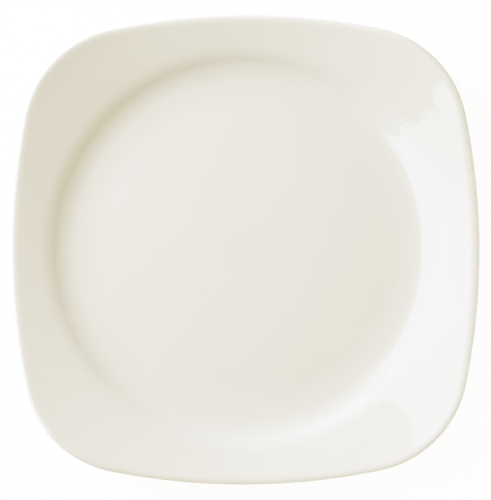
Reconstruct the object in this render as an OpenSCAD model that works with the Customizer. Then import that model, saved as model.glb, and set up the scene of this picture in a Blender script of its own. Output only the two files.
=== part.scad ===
// Square dinner plate with bowed sides, round corners and a round well.
// It is one piece of fired clay under a coat of glaze, wiped off the foot's standing face.
// Millimetres. The plate stands on z = 0, centred on the z axis, with its sides across x and y.

/* [Outline] */
// Width across the plate from the middle of one side to the middle of the other
plate_w = 265; // [250:1:290]
// Radius that each side bows out to
side_r = 360; // [280:5:600]
// Radius of each corner, seen from above
corner_r = 63.5; // [48:0.5:80]

/* [Well and rim] */
// Width of the rim at the middle of a side, from the shoulder to the edge
rim_w = 16.5; // [12:0.5:22]
// Width of the shoulder that rolls the well's wall over into the rim
shoulder_w = 7.5; // [5:0.5:12]
// Width of the tight bend at the foot of the well's wall
wall_w = 12; // [8:0.5:15]
// Width of the outer part of that bend, where it tightens once more below the shoulder
wall_top_w = 4; // [3:0.5:6]
// Width of the gentle bend that starts at the flat floor
cove_w = 14.5; // [8:0.5:22]
// Length of the curl that lifts each corner, from where it starts to the corner's tip
curl_w = 20; // [12:1:24]
// Slope of the gentle bend where the tight one takes over, in degrees
cove_slope = 6; // [3:0.5:9]
// Slope of the wall where its bend tightens once more, in degrees
wall_mid_slope = 18; // [14:0.5:19]
// Steepest slope of the well's wall, in degrees
wall_slope = 27; // [20:1:34]
// Slope of the rim, in degrees
rim_slope = 15.5; // [11:0.5:18]
// Slope at the tip of a corner, in degrees
tip_slope = 20.5; // [18:0.5:26]

/* [Wall thickness] */
// Thickness of the clay under the floor of the well
floor_t = 5; // [4:0.1:7]
// Thickness of the clay at the well's wall, measured upright
wall_t = 5.2; // [4:0.1:7]
// Thickness of the clay in the rim, measured upright
rim_t = 4; // [3:0.1:6]

/* [Edge] */
// Width over which the top of the rim rolls down to the edge, at the middle of a side
edge_side_w = 6.5; // [4.5:0.5:9]
// The same at the tip of a corner
edge_corner_w = 5.5; // [4:0.5:9]
// Width over which the underside of the rim rolls up to the edge
edge_under_w = 2.5; // [1.5:0.25:4]

/* [Foot ring] */
// Depth of the recess inside the foot ring
foot_h = 3.2; // [2:0.1:5]
// Distance from the steepest line of the well's wall in to the foot's standing face
foot_inset = 22; // [18:0.5:30]
// Width of the flat standing face
foot_face_w = 3; // [2:0.25:5]
// Width of each S-shaped flank of the foot
foot_flank_w = 3.5; // [2.5:0.25:5]

/* [Glaze] */
// Thickness of the glaze
glaze_t = 0.25; // [0.15:0.05:0.5]
// Height of the bare band that is wiped clean at the foot
bare_h = 0.7; // [0.5:0.1:1.2]

/* [Hidden] */
clay_colour = [0.90, 0.87, 0.80];
glaze_colour = [0.94, 0.92, 0.86];

// Chords in each bend of the profile, in each side and corner of the outline, and in a full turn
bend_steps = 8;
side_steps = 12;
corner_steps = 12;
turn_steps = 96;
// Rolled edge: angles round its nose from the top face to the underside
edge_angles = [90, 78, 66, 52, 38, 24, 12, 0, -20, -42, -64, -90];
// How square the roll is above and below its nose: 2 is round, and more is flatter with a
// tighter turn at the edge
edge_top_power = 3.5;
edge_under_power = 2;
// Angle at which the rolled edge leaves the faces of the rim
edge_leave = 75;
// How far shapes run past what they cut
overrun = 4;
// Shortest chord of the underside beside the foot
least_chord = 1;

// Outline: four side arcs and four corner arcs that meet smoothly
half_w = plate_w / 2;
side_back = side_r - half_w;
corner_c = (sqrt(2 * pow(side_r - corner_r, 2) - pow(side_back, 2)) - side_back) / 2;
tip_r = corner_c * sqrt(2) + corner_r;
join_angle = atan2(corner_c, corner_c + side_back);

// Top profile: radius and slope where one bend hands over to the next
rim_r = half_w - rim_w;
steep_r = rim_r - shoulder_w;
wall_mid_r = steep_r - wall_top_w;
cove_r = steep_r - wall_w;
floor_r = cove_r - cove_w;
floor_z = foot_h + floor_t;
stations = [
    [0, 0],
    [floor_r, 0],
    [cove_r, cove_slope],
    [wall_mid_r, wall_mid_slope],
    [steep_r, wall_slope],
    [rim_r, rim_slope],
    [tip_r - curl_w, rim_slope],
    [tip_r, tip_slope],
];
last_bend = len(stations) - 2;

// Foot ring
foot_out_r = steep_r - foot_inset;
foot_in_r = foot_out_r - foot_face_w;
foot_mid_r = (foot_out_r + foot_in_r) / 2;

// Profile of the top face: arcs from one station's slope to the next
function bend_at(r) = max([for (i = [0:last_bend]) if (i == 0 || r >= stations[i][0]) i]);
function slope_at(r) =
    let (i = bend_at(r), a = stations[i], b = stations[i + 1])
    let (f = (r - a[0]) / (b[0] - a[0]))
    asin(sin(a[1]) * (1 - f) + sin(b[1]) * f);
function station_z(i) =
    i == 0 ? floor_z
    : let (a = stations[i - 1], b = stations[i])
      station_z(i - 1) + (b[0] - a[0]) * tan((a[1] + b[1]) / 2);
function top_z(r) =
    let (i = bend_at(r), a = stations[i])
    station_z(i) + (r - a[0]) * tan((a[1] + slope_at(r)) / 2);

function reversed(list) = [for (i = [len(list) - 1:-1:0]) list[i]];

// Thickness of the clay, measured upright, and the underside that it gives
function clay_t(r) = lookup(r, [[floor_r, floor_t], [steep_r, wall_t], [rim_r, rim_t]]);
function under_z(r) = top_z(r) - clay_t(r);

// Radii at which the profile has a point, out to a little past the corners' tips
bend_radii = [
    for (i = [1:last_bend], k = [0:bend_steps - 1])
        stations[i][0] + (stations[i + 1][0] - stations[i][0]) * k / bend_steps,
    tip_r,
    tip_r + overrun,
];

// Faces of the plate, grown outwards by coat
function top_face(coat) =
    [for (r = concat([0], bend_radii)) [r, top_z(r) + coat / cos(slope_at(r))]];
function under_face(coat) =
    let (last = len(bend_radii) - 1)
    [
        for (i = [last:-1:0])
            let (r = bend_radii[i])
            if (r > foot_out_r + foot_flank_w + least_chord)
            [r, under_z(r) - coat / cos(slope_at(r))],
    ];

// S-shaped flank of the foot, from the share from_share of its width out to the whole of it.
// side is 1 for the outer flank and -1 for the one in the recess.
function flank(face_r, side, h, coat, from_share) = [
    for (k = [0:bend_steps])
        let (u = from_share + (1 - from_share) * k / bend_steps)
        let (steep = atan(h / foot_flank_w * PI / 2 * sin(180 * u)))
        [
            face_r + side * (foot_flank_w * u + coat * sin(steep)),
            h * (1 - cos(180 * u)) / 2 - coat * cos(steep),
        ],
];

// Share of a flank of height h that is left bare
function bare_share(h) = acos(1 - 2 * bare_h / h) / 180;
outer_flank_h = under_z(foot_out_r + foot_flank_w);

// The round body of clay, before its outline is cut
module clay_round() {
    rotate_extrude($fn = turn_steps)
        polygon(concat(
            top_face(0),
            under_face(0),
            reversed(flank(foot_out_r, 1, outer_flank_h, 0, 0)),
            flank(foot_in_r, -1, foot_h, 0, 0),
            [[0, foot_h]]
        ));
}

// The same with its glaze, but with nothing of the recess
module glazed_round() {
    rotate_extrude($fn = turn_steps)
        polygon(concat(
            top_face(glaze_t),
            under_face(glaze_t),
            reversed(flank(foot_out_r, 1, outer_flank_h, glaze_t, bare_share(outer_flank_h))),
            [
                [foot_mid_r, bare_h],
                [foot_mid_r, foot_h + floor_t / 2],
                [0, foot_h + floor_t / 2],
            ]
        ));
}

// Steps once round the outline, anticlockwise. Each is [centre x, centre y, arc radius, direction].
outline_arcs = [
    for (q = [0:3], part = [0, 1])
        let (n = part == 0 ? side_steps : corner_steps)
        let (from = part == 0 ? -join_angle : join_angle)
        let (turn = part == 0 ? 2 * join_angle : 90 - 2 * join_angle)
        let (c = part == 0 ? [-side_back, 0] : [corner_c, corner_c])
        for (k = [0:n - 1])
            [
                c[0] * cos(90 * q) - c[1] * sin(90 * q),
                c[0] * sin(90 * q) + c[1] * cos(90 * q),
                part == 0 ? side_r : corner_r,
                90 * q + from + turn * k / n,
            ],
];
outline_n = len(outline_arcs);
// Point of the outline at step i, moved inwards by inset
function outline_point(i, inset) =
    let (a = outline_arcs[i])
    [a[0] + (a[2] - inset) * cos(a[3]), a[1] + (a[2] - inset) * sin(a[3])];
function at_height(p, z) = [p[0], p[1], z];

// Width of the roll on top: it narrows from the middle of a side to the tip of a corner
function edge_top_w(i) =
    let (p = outline_point(i, 0))
    let (tip_share = (1 - cos(4 * atan2(p[1], p[0]))) / 2)
    edge_side_w + (edge_corner_w - edge_side_w) * tip_share;

// Distance of the roll's surface from its outer edge at step i, at an angle round its nose
function edge_in(i, angle, coat) =
    let (w = (angle > 0 ? edge_top_w(i) : edge_under_w) + coat)
    let (power = angle > 0 ? edge_top_power : edge_under_power)
    w * (1 - pow(cos(angle), 2 / power)) - coat;

// Everything inside the rolled edge. It runs on past the plate above and below.
module inside_edge(coat) {
    nose = (rim_t / 2 + coat) / sin(edge_leave);
    high = top_z(tip_r) + overrun;
    rings = [
        [for (i = [0:outline_n - 1]) at_height(outline_point(i, edge_top_w(i)), high)],
        for (angle = edge_angles)
            [
                for (i = [0:outline_n - 1])
                    let (p = outline_point(i, edge_in(i, angle, coat)))
                    at_height(p, top_z(norm(p)) - rim_t / 2 + nose * sin(angle)),
            ],
        [for (i = [0:outline_n - 1]) at_height(outline_point(i, edge_under_w), -overrun)],
    ];
    points = [for (ring = rings) each ring];
    under_ring = outline_n * (len(rings) - 1);
    polyhedron(
        points = points,
        faces = [
            [for (i = [outline_n - 1:-1:0]) i],
            for (k = [0:len(rings) - 2], i = [0:outline_n - 1])
                let (j = (i + 1) % outline_n, a = k * outline_n, b = a + outline_n)
                each [[a + i, a + j, b + j], [a + i, b + j, b + i]],
            [for (i = [0:outline_n - 1]) under_ring + i],
        ]
    );
}

module clay_solid() {
    intersection() {
        clay_round();
        inside_edge(0);
    }
}

module clay_body() {
    color(clay_colour) clay_solid();
}

module face_glaze() {
    color(glaze_colour)
        difference() {
            intersection() {
                glazed_round();
                inside_edge(glaze_t);
            }
            clay_solid();
        }
}

module recess_glaze() {
    color(glaze_colour)
        difference() {
            rotate_extrude($fn = turn_steps)
                polygon(concat(
                    flank(foot_in_r, -1, foot_h, glaze_t, bare_share(foot_h)),
                    [
                        [0, foot_h - glaze_t],
                        [0, foot_h + floor_t / 2],
                        [foot_mid_r, foot_h + floor_t / 2],
                        [foot_mid_r, bare_h],
                    ]
                ));
            clay_round();
        }
}

clay_body();
face_glaze();
recess_glaze();
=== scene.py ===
import math

import bpy
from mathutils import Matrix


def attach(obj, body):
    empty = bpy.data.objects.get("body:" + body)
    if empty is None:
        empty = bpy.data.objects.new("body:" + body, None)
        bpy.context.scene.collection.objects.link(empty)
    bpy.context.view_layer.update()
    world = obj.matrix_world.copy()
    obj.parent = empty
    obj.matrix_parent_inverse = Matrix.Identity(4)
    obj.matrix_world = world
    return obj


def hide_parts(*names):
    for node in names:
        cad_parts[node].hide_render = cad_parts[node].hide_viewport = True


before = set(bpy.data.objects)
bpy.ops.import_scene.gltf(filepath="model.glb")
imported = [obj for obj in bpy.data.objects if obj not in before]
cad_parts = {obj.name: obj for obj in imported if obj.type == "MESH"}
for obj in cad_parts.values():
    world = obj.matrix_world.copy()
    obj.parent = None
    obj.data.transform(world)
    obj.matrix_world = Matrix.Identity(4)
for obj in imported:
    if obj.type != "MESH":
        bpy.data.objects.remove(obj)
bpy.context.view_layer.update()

# Looks of a square dinner plate: clay under a coat of glaze, photographed from straight above.
# The plate's sizes have the names that they have in part.scad. Lengths are in metres.
MM = 0.001

# Outline: four bowed sides and four round corners that meet smoothly
PLATE_W = 265 * MM
SIDE_R = 360 * MM
CORNER_R = 63.5 * MM
HALF_W = PLATE_W / 2
SIDE_BACK = SIDE_R - HALF_W
CORNER_C = (math.sqrt(2 * (SIDE_R - CORNER_R) ** 2 - SIDE_BACK ** 2) - SIDE_BACK) / 2
TIP_R = CORNER_C * math.sqrt(2) + CORNER_R
JOIN_ANGLE = math.atan2(CORNER_C, CORNER_C + SIDE_BACK)

# Well and rim: the width of each part, inwards from the edge. WALL_TOP_W is the outer part of
# WALL_W, and CURL_W is the part of the rim that lifts at each corner, up to the corner's tip.
RIM_W = 16.5 * MM
SHOULDER_W = 7.5 * MM
WALL_W = 12 * MM
WALL_TOP_W = 4 * MM
COVE_W = 14.5 * MM
CURL_W = 20 * MM

# Slopes of the top face where one bend hands over to the next
COVE_SLOPE = math.radians(6)
WALL_MID_SLOPE = math.radians(18)
WALL_SLOPE = math.radians(27)
RIM_SLOPE = math.radians(15.5)
TIP_SLOPE = math.radians(20.5)

# Thickness of the clay, measured upright, and of the glaze
FLOOR_T = 5 * MM
WALL_T = 5.2 * MM
RIM_T = 4 * MM
GLAZE_T = 0.25 * MM

# Rolled edge. A power of 2 is a round roll, and a higher one is flatter with a tighter turn.
EDGE_SIDE_W = 6.5 * MM
EDGE_CORNER_W = 5.5 * MM
EDGE_UNDER_W = 2.5 * MM
EDGE_TOP_POWER = 3.5
EDGE_UNDER_POWER = 2

# Foot ring, and the height that is wiped clean of glaze
FOOT_H = 3.2 * MM
FOOT_INSET = 22 * MM
FOOT_FACE_W = 3 * MM
FOOT_FLANK_W = 3.5 * MM
BARE_H = 0.7 * MM

# Top face: radius and slope at each handover, from the middle to the tip of a corner
RIM_R = HALF_W - RIM_W
STEEP_R = RIM_R - SHOULDER_W
WALL_MID_R = STEEP_R - WALL_TOP_W
COVE_R = STEEP_R - WALL_W
FLOOR_R = COVE_R - COVE_W
FLOOR_Z = FOOT_H + FLOOR_T
STATIONS = [
    (0.0, 0.0),
    (FLOOR_R, 0.0),
    (COVE_R, COVE_SLOPE),
    (WALL_MID_R, WALL_MID_SLOPE),
    (STEEP_R, WALL_SLOPE),
    (RIM_R, RIM_SLOPE),
    (TIP_R - CURL_W, RIM_SLOPE),
    (TIP_R, TIP_SLOPE),
]
FOOT_OUT_R = STEEP_R - FOOT_INSET
FOOT_IN_R = FOOT_OUT_R - FOOT_FACE_W
FLANK_TOP_R = FOOT_OUT_R + FOOT_FLANK_W

# Points in each ring, and rings in each bend and across the rim. The glaze's outer side is FINE,
# and the faces that it covers are COARSE. The shares are those of the radius at which the flat
# floor and the recess's ceiling have rings.
AROUND = 360
FINE = {"bend": 12, "rim": 16}
COARSE = {"bend": 3, "rim": 8}
EDGE_STEPS = 18
FLANK_STEPS = 14
FLOOR_RING_SHARES = (0.25, 0.5, 0.75, 0.92)
RECESS_RING_SHARES = (0.95, 0.7, 0.4)
LEAST_CHORD = 1 * MM


def bend_at(r):
    """Number of the stretch of the top face that r lies in."""
    return max(i for i in range(len(STATIONS) - 1) if r >= STATIONS[i][0])


def slope_at(r):
    """Slope of the top face at r. Each stretch is an arc, and the last goes on past its end."""
    i = bend_at(r)
    (r0, s0), (r1, s1) = STATIONS[i], STATIONS[i + 1]
    f = (r - r0) / (r1 - r0)
    return math.asin(math.sin(s0) * (1 - f) + math.sin(s1) * f)


def station_z(i):
    """Height of the clay's top face at a station."""
    if i == 0:
        return FLOOR_Z
    (r0, s0), (r1, s1) = STATIONS[i - 1], STATIONS[i]
    return station_z(i - 1) + (r1 - r0) * math.tan((s0 + s1) / 2)


def top_z(r):
    """Height of the clay's top face at r."""
    i = bend_at(r)
    r0, s0 = STATIONS[i]
    return station_z(i) + (r - r0) * math.tan((s0 + slope_at(r)) / 2)


def clay_t(r):
    """Thickness of the clay at r, measured upright."""
    if r <= FLOOR_R:
        return FLOOR_T
    if r <= STEEP_R:
        return FLOOR_T + (WALL_T - FLOOR_T) * (r - FLOOR_R) / (STEEP_R - FLOOR_R)
    if r <= RIM_R:
        return WALL_T + (RIM_T - WALL_T) * (r - STEEP_R) / (RIM_R - STEEP_R)
    return RIM_T


OUTER_FLANK_H = top_z(FLANK_TOP_R) - clay_t(FLANK_TOP_R)


def coat_rise(r, coat):
    """How far a coat of that thickness lifts a face that slopes as the top face does at r."""
    return coat / math.cos(slope_at(r))


def outline_r(angle, inset):
    """Distance from the middle to the outline, moved inwards by inset, at an angle."""
    a = abs((angle + math.pi / 4) % (math.pi / 2) - math.pi / 4)
    side = SIDE_R - inset
    join = math.atan2(side * math.sin(JOIN_ANGLE), side * math.cos(JOIN_ANGLE) - SIDE_BACK)
    if a <= join:
        return math.sqrt(side ** 2 - (SIDE_BACK * math.sin(a)) ** 2) - SIDE_BACK * math.cos(a)
    along = CORNER_C * (math.cos(a) + math.sin(a))
    return along + math.sqrt((CORNER_R - inset) ** 2 - 2 * CORNER_C ** 2 + along ** 2)


def edge_top_w(angle):
    """Width of the roll on top: it narrows from the middle of a side to the tip of a corner."""
    return EDGE_SIDE_W + (EDGE_CORNER_W - EDGE_SIDE_W) * (1 - math.cos(4 * angle)) / 2


def edge_under_w(angle):
    """Width of the roll underneath: the same at every angle."""
    return EDGE_UNDER_W


ANGLES = [2 * math.pi * k / AROUND for k in range(AROUND)]


def ring(radius, height):
    """Points once round the plate. radius takes an angle, and height takes a radius."""
    points = []
    for angle in ANGLES:
        r = radius(angle)
        points.append((r * math.cos(angle), r * math.sin(angle), height(r)))
    return points


def round_ring(r, z):
    """A ring of one radius and one height."""
    return ring(lambda angle: r, lambda radius: z)


def bends(steps):
    """Radii from the edge of the flat floor out to the rim, which is left out."""
    stops = [r for r, _ in STATIONS if FLOOR_R <= r <= RIM_R]
    radii = []
    for r0, r1 in zip(stops, stops[1:]):
        radii += [r0 + (r1 - r0) * k / steps for k in range(steps)]
    return radii


def rim_rings(width, height, steps):
    """Rings from the rim's round inner side out to, but without, the roll of that width."""
    rings = []
    for k in range(steps):
        share = k / steps
        rings.append(ring(
            lambda angle: RIM_R + (outline_r(angle, width(angle)) - RIM_R) * share,
            height,
        ))
    return rings


def top_rings(coat, fineness):
    """The top face, from the middle to where the edge starts to roll."""
    def height(r):
        return top_z(r) + coat_rise(r, coat)

    radii = [FLOOR_R * share for share in FLOOR_RING_SHARES] + bends(fineness["bend"])
    middle = [(0.0, 0.0, height(0.0))]
    rings = [middle] + [round_ring(r, height(r)) for r in radii]
    return rings + rim_rings(edge_top_w, height, fineness["rim"])


def edge_rings(coat):
    """The rolled edge, from the top of the rim round its nose to the underside."""
    rings = []
    for k in range(2 * EDGE_STEPS + 1):
        turn = math.pi / 2 * (1 - k / EDGE_STEPS)
        if k <= EDGE_STEPS:
            width, power = edge_top_w, EDGE_TOP_POWER
        else:
            width, power = edge_under_w, EDGE_UNDER_POWER
        out_share = max(math.cos(turn), 0) ** (2 / power)
        rings.append(ring(
            lambda angle: outline_r(angle, (width(angle) + coat) * (1 - out_share) - coat),
            lambda r: top_z(r) - RIM_T / 2 + (RIM_T / 2 + coat_rise(r, coat)) * math.sin(turn),
        ))
    return rings


def under_rings(coat, fineness):
    """The underside, from the rolled edge in to the top of the foot's outer flank."""
    def height(r):
        return top_z(r) - clay_t(r) - coat_rise(r, coat)

    rings = rim_rings(edge_under_w, height, fineness["rim"])[:0:-1]
    radii = [r for r in bends(fineness["bend"]) + [RIM_R] if r > FLANK_TOP_R + LEAST_CHORD]
    return rings + [round_ring(r, height(r)) for r in reversed(radii)]


def flank_rings(face_r, side, height, coat, start):
    """An S-shaped flank of the foot, from the share start of its width up to the whole of it.

    side is 1 for the outer flank and -1 for the one in the recess.
    """
    rings = []
    for k in range(FLANK_STEPS + 1):
        u = start + (1 - start) * k / FLANK_STEPS
        steep = math.atan(height / FOOT_FLANK_W * math.pi / 2 * math.sin(math.pi * u))
        r = face_r + side * (FOOT_FLANK_W * u + coat * math.sin(steep))
        z = height * (1 - math.cos(math.pi * u)) / 2 - coat * math.cos(steep)
        rings.append(round_ring(r, z))
    return rings


def bare_share(height):
    """Share of the width of a flank of that height that is wiped clean of glaze."""
    return math.acos(1 - 2 * BARE_H / height) / math.pi


def outer_face(coat, start, fineness):
    """Top, edge, underside and outer flank of the foot, as one run of rings."""
    flank = flank_rings(FOOT_OUT_R, 1, OUTER_FLANK_H, coat, start)
    top = top_rings(coat, fineness)
    return top + edge_rings(coat) + under_rings(coat, fineness) + flank[::-1]


def recess_face(coat, start):
    """Inner flank of the foot and the ceiling of its recess, in to the middle."""
    flank = flank_rings(FOOT_IN_R, -1, FOOT_H, coat, start)
    ceiling_r = FOOT_IN_R - FOOT_FLANK_W
    ceiling_z = FOOT_H - coat
    ceiling = [round_ring(ceiling_r * share, ceiling_z) for share in RECESS_RING_SHARES]
    middle = [(0.0, 0.0, ceiling_z)]
    return flank + ceiling + [middle]


def add_object(name, data):
    """A new object of the scene."""
    obj = bpy.data.objects.new(name, data)
    bpy.context.scene.collection.objects.link(obj)
    return obj


def loft(name, rings):
    """A closed mesh through rings of points. The first and last rings are single points."""
    points = []
    starts = []
    for one in rings:
        starts.append(len(points))
        points += one
    faces = []
    for k in range(len(rings) - 1):
        a, b = starts[k], starts[k + 1]
        for i in range(AROUND):
            j = (i + 1) % AROUND
            if len(rings[k]) == 1:
                faces.append((a, b + i, b + j))
            elif len(rings[k + 1]) == 1:
                faces.append((a + j, a + i, b))
            else:
                faces.append((a + j, a + i, b + i, b + j))
    mesh = bpy.data.meshes.new(name)
    mesh.from_pydata(points, [], faces)
    mesh.validate()
    for polygon in mesh.polygons:
        polygon.use_smooth = True
    return add_object(name, mesh)


def new_material(name):
    """A material, its node tree and its shader."""
    material = bpy.data.materials.new(name)
    material.use_nodes = True
    return material, material.node_tree, material.node_tree.nodes["Principled BSDF"]


def noise(tree, scale, detail):
    """Noise fixed to the object, with about scale waves in a metre."""
    place = tree.nodes.new("ShaderNodeTexCoord")
    texture = tree.nodes.new("ShaderNodeTexNoise")
    texture.inputs["Scale"].default_value = scale
    texture.inputs["Detail"].default_value = detail
    tree.links.new(place.outputs["Object"], texture.inputs["Vector"])
    return texture.outputs["Fac"]


def colour_by(tree, value, start, end, low, high):
    """A colour that goes from low to high while the value goes from start to end."""
    share = tree.nodes.new("ShaderNodeMapRange")
    share.inputs["From Min"].default_value = start
    share.inputs["From Max"].default_value = end
    mix = tree.nodes.new("ShaderNodeMix")
    mix.data_type = "RGBA"
    mix.inputs["A"].default_value = (*low, 1)
    mix.inputs["B"].default_value = (*high, 1)
    tree.links.new(value, share.inputs["Value"])
    tree.links.new(share.outputs["Result"], mix.inputs["Factor"])
    return mix.outputs["Result"]


def mottle(tree, shader, scale, detail, low, high):
    """Colours a surface in patches between two colours. Noise is mostly from 0.3 to 0.7."""
    patches = noise(tree, scale, detail)
    colour = colour_by(tree, patches, start=0.3, end=0.7, low=low, high=high)
    tree.links.new(colour, shader.inputs["Base Color"])


def roughen(tree, shader, scale, detail, strength, depth):
    """Gives a surface small bumps that only the light shows."""
    bumps = tree.nodes.new("ShaderNodeBump")
    bumps.inputs["Strength"].default_value = strength
    bumps.inputs["Distance"].default_value = depth
    tree.links.new(noise(tree, scale, detail), bumps.inputs["Height"])
    tree.links.new(bumps.outputs["Normal"], shader.inputs["Normal"])


def glaze_material():
    """Cream glaze: a warm colour with faint mottling and a faint ripple, and glossy."""
    material, tree, shader = new_material("cream_glaze")
    shader.inputs["Roughness"].default_value = 0.03
    shader.inputs["IOR"].default_value = 1.5
    mottle(tree, shader, scale=22, detail=3, low=(0.785, 0.755, 0.68), high=(0.795, 0.765, 0.69))
    roughen(tree, shader, scale=60, detail=2, strength=0.1, depth=0.1 * MM)
    return material


def clay_material():
    """Bare fired clay: matt, a little darker than the glaze, with fine sandy grain."""
    material, tree, shader = new_material("bare_clay")
    shader.inputs["Roughness"].default_value = 0.85
    mottle(tree, shader, scale=900, detail=4, low=(0.64, 0.58, 0.46), high=(0.76, 0.7, 0.58))
    roughen(tree, shader, scale=2500, detail=3, strength=0.4, depth=0.1 * MM)
    return material


def dress(piece, node, material):
    """Gives a piece its material, puts it under the root body, and hides the solid that it
    stands for.
    """
    piece.data.materials.append(material)
    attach(piece, "root")
    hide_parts(node)


def make_plate():
    """The clay, and the two coats of glaze. Each coat is closed by its side against the clay."""
    glaze = glaze_material()
    body = loft("clay_core", outer_face(0, 0, COARSE) + recess_face(0, 0))
    dress(body, "clay_body", clay_material())

    start = bare_share(OUTER_FLANK_H)
    outside = outer_face(GLAZE_T, start, FINE)
    against = outer_face(0, start, COARSE)
    face = loft("glazed_face", outside + against[::-1])
    dress(face, "face_glaze", glaze)

    start = bare_share(FOOT_H)
    outside = recess_face(GLAZE_T, start)
    against = recess_face(0, start)
    recess = loft("glazed_recess", against[::-1] + outside)
    dress(recess, "recess_glaze", glaze)


# Camera: straight above the plate, as in the photograph. The photograph's plate is turned
# a little, and sits a little left of the frame's middle and above it. PLATE_W_PX is the width
# of the clay, without its glaze, at the height of the edge in the middle of a side.
CAMERA_HEIGHT = 1.2
FRAME_W_PX = 491
PLATE_W_PX = 468.6
PLATE_LEFT_PX = 0.55
PLATE_UP_PX = 0.2
PLATE_TURN = math.radians(0.21)
EDGE_HEIGHT = 18 * MM


def make_camera():
    """The photograph's camera, with the lens that shows the plate as wide as it is there."""
    data = bpy.data.cameras.new("camera")
    camera = add_object("camera", data)
    camera.location = (0, 0, CAMERA_HEIGHT)
    seen_w = 2 * HALF_W * FRAME_W_PX / PLATE_W_PX
    data.sensor_fit = "HORIZONTAL"
    data.lens = data.sensor_width * (CAMERA_HEIGHT - EDGE_HEIGHT) / seen_w
    data.shift_x = PLATE_LEFT_PX / FRAME_W_PX
    data.shift_y = -PLATE_UP_PX / FRAME_W_PX
    camera.rotation_euler.z = -PLATE_TURN
    bpy.context.scene.camera = camera


# Edge strips: their angle from straight up, in degrees, as area_light takes it, and their height
STRIP_POLAR = 87
STRIP_HEIGHT = 26 * MM


def area_light(name, azimuth, polar, distance, size, power, colour):
    """A round lamp that faces the plate's middle, and that the glaze doesn't mirror.

    azimuth is in degrees from the photograph's right towards its top, and polar is in degrees
    from straight up. size is the lamp's width in metres, and power is in watts.
    """
    data = bpy.data.lights.new(name, "AREA")
    data.shape = "DISK"
    data.size = size
    data.energy = power
    data.color = colour
    lamp = add_object(name, data)
    a, p = math.radians(azimuth), math.radians(polar)
    flat = distance * math.sin(p)
    lamp.location = (flat * math.cos(a), flat * math.sin(a), distance * math.cos(p))
    lamp.rotation_euler = (-lamp.location).to_track_quat("-Z", "Y").to_euler()
    lamp.visible_glossy = False
    return lamp


def strip_light(name, azimuth, distance, length, power, colour):
    """A weak low strip that stands on the floor beside the plate and lights its edge."""
    strip = area_light(name, azimuth, STRIP_POLAR, distance, length, power, colour)
    strip.data.shape = "RECTANGLE"
    strip.data.size_y = STRIP_HEIGHT
    strip.visible_camera = False


def make_lights():
    """A large cool lamp at the upper left, a weak one low at the right, and two edge strips."""
    area_light(
        "key", azimuth=150, polar=60, distance=2.0,
        size=1.0, power=60, colour=(0.546, 0.62, 1.0),
    )
    area_light(
        "low", azimuth=345, polar=81, distance=2.0,
        size=0.6, power=7.5, colour=(0.62, 0.5, 1.0),
    )
    strip_light(
        "edge_right", azimuth=346, distance=0.3,
        length=0.6, power=0.42, colour=(0.57, 0.71, 1.0),
    )
    strip_light(
        "edge_front", azimuth=280, distance=0.28,
        length=0.4, power=0.13, colour=(0.57, 0.7, 1.0),
    )


# Softbox: its outline seen from above, on a level plane to the left of the plate. The right half
# of the plate mirrors its notched right-hand border.
SOFTBOX_HEIGHT = 1.0
SOFTBOX_OUTLINE = [
    (-0.26, 0.18), (-0.265, 0.08), (-0.257, 0.0), (-0.262, -0.09), (-0.274, -0.12),
    (-0.28, -0.15), (-0.25, -0.189), (-0.264, -0.196), (-0.278, -0.2), (-0.276, -0.218),
    (-0.284, -0.234), (-0.292, -0.25), (-0.301, -0.261), (-0.311, -0.268), (-0.325, -0.273),
    (-0.336, -0.268), (-0.343, -0.256), (-0.353, -0.256), (-0.372, -0.295), (-0.41, -0.33),
    (-0.76, -0.555), (-2.2, -0.9),
    (-2.2, 1.5), (-1.25, 1.5), (-0.5, 0.61), (-0.4, 0.5), (-0.34, 0.43), (-0.292, 0.35),
    (-0.27, 0.312), (-0.25, 0.27), (-0.222, 0.228),
]
# Its glow grows along a direction that points to the lower right, seen from above. It is faint
# up to one place on the way there, and full from the other. Both count from the plate's middle.
SOFTBOX_GLOW_TURN = math.radians(-40)
SOFTBOX_FAINT_AT = -0.7
SOFTBOX_FULL_AT = -0.22
SOFTBOX_FAINT = (0.5, 0.62, 0.55)
SOFTBOX_FULL = (1.98, 2.36, 3.0)


def empty_material(name):
    """A material with nothing in its node tree, and that tree."""
    material = bpy.data.materials.new(name)
    material.use_nodes = True
    material.node_tree.nodes.clear()
    return material, material.node_tree


def softbox_glow():
    """A cool glow that fades towards the upper left."""
    material, tree = empty_material("softbox_glow")
    place = tree.nodes.new("ShaderNodeTexCoord")
    along = tree.nodes.new("ShaderNodeVectorMath")
    along.operation = "DOT_PRODUCT"
    along.inputs[1].default_value = (
        math.cos(SOFTBOX_GLOW_TURN), math.sin(SOFTBOX_GLOW_TURN), 0,
    )
    tree.links.new(place.outputs["Object"], along.inputs[0])
    colour = colour_by(
        tree, along.outputs["Value"],
        start=SOFTBOX_FAINT_AT, end=SOFTBOX_FULL_AT, low=SOFTBOX_FAINT, high=SOFTBOX_FULL,
    )
    glow = tree.nodes.new("ShaderNodeEmission")
    out = tree.nodes.new("ShaderNodeOutputMaterial")
    tree.links.new(colour, glow.inputs["Color"])
    tree.links.new(glow.outputs["Emission"], out.inputs["Surface"])
    return material


def make_softbox():
    """The softbox that the glaze mirrors on the right. It shows only in reflections."""
    mesh = bpy.data.meshes.new("softbox")
    corners = [(x, y, SOFTBOX_HEIGHT) for x, y in SOFTBOX_OUTLINE]
    mesh.from_pydata(corners, [], [tuple(range(len(corners)))])
    mesh.materials.append(softbox_glow())
    softbox = add_object("softbox", mesh)
    softbox.visible_camera = False
    softbox.visible_diffuse = False
    softbox.visible_transmission = False
    softbox.visible_shadow = False


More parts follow.
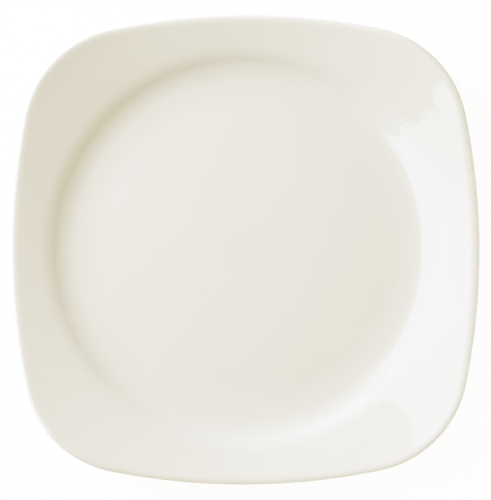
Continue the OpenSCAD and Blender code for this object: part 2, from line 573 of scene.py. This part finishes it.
# Studio: the light that comes from all sides, and the floor. The camera, and what the glaze
# mirrors, get a share of plain white from the floor, and the rest from its lit and shaded paint.
WORLD_FILL = (0.622, 0.583, 0.317)
STUDIO_HALF_W = 6.0
STUDIO_PAINT = (0.9, 0.9, 0.9)
STUDIO_WHITE_SHARE = 0.95
WHITE = (1, 1, 1)


def seen_directly(tree):
    """1 for the camera and for mirrored and refracted rays, and 0 for the rest."""
    path = tree.nodes.new("ShaderNodeLightPath")
    seen = path.outputs["Is Camera Ray"]
    for kind in ("Is Glossy Ray", "Is Transmission Ray"):
        either = tree.nodes.new("ShaderNodeMath")
        either.operation = "MAXIMUM"
        tree.links.new(seen, either.inputs[0])
        tree.links.new(path.outputs[kind], either.inputs[1])
        seen = either.outputs["Value"]
    return seen


def blend_surfaces(tree, share, first, second, output):
    """Ends a node tree in a blend of two shaders. A share of 1 is all of the second."""
    mix = tree.nodes.new("ShaderNodeMixShader")
    out = tree.nodes.new(output)
    tree.links.new(share, mix.inputs["Fac"])
    tree.links.new(first, mix.inputs[1])
    tree.links.new(second, mix.inputs[2])
    tree.links.new(mix.outputs["Shader"], out.inputs["Surface"])


def background(tree, colour):
    """An even light from all sides."""
    light = tree.nodes.new("ShaderNodeBackground")
    light.inputs["Color"].default_value = (*colour, 1)
    light.inputs["Strength"].default_value = 1.0
    return light.outputs["Background"]


def make_world():
    """A warm fill for the plate, and white where the world itself is seen."""
    world = bpy.data.worlds.new("studio")
    bpy.context.scene.world = world
    world.use_nodes = True
    tree = world.node_tree
    tree.nodes.clear()
    fill = background(tree, WORLD_FILL)
    white = background(tree, WHITE)
    blend_surfaces(tree, seen_directly(tree), fill, white, "ShaderNodeOutputWorld")


def make_floor():
    """A plain white floor that keeps a soft share of the plate's shadow."""
    half = STUDIO_HALF_W
    mesh = bpy.data.meshes.new("floor")
    corners = [(-half, -half, 0), (half, -half, 0), (half, half, 0), (-half, half, 0)]
    mesh.from_pydata(corners, [], [(0, 1, 2, 3)])
    floor = add_object("floor", mesh)
    material, tree = empty_material("floor")
    matt = tree.nodes.new("ShaderNodeBsdfDiffuse")
    matt.inputs["Color"].default_value = (*STUDIO_PAINT, 1)
    white = tree.nodes.new("ShaderNodeEmission")
    white.inputs["Strength"].default_value = 1.0
    share = tree.nodes.new("ShaderNodeMath")
    share.operation = "MULTIPLY"
    share.inputs[1].default_value = STUDIO_WHITE_SHARE
    tree.links.new(seen_directly(tree), share.inputs[0])
    blend_surfaces(
        tree, share.outputs["Value"], matt.outputs["BSDF"], white.outputs["Emission"],
        "ShaderNodeOutputMaterial",
    )
    mesh.materials.append(material)


make_camera()
make_plate()
make_lights()
make_softbox()
make_world()
make_floor()
bpy.context.scene.view_settings.view_transform = "Standard"
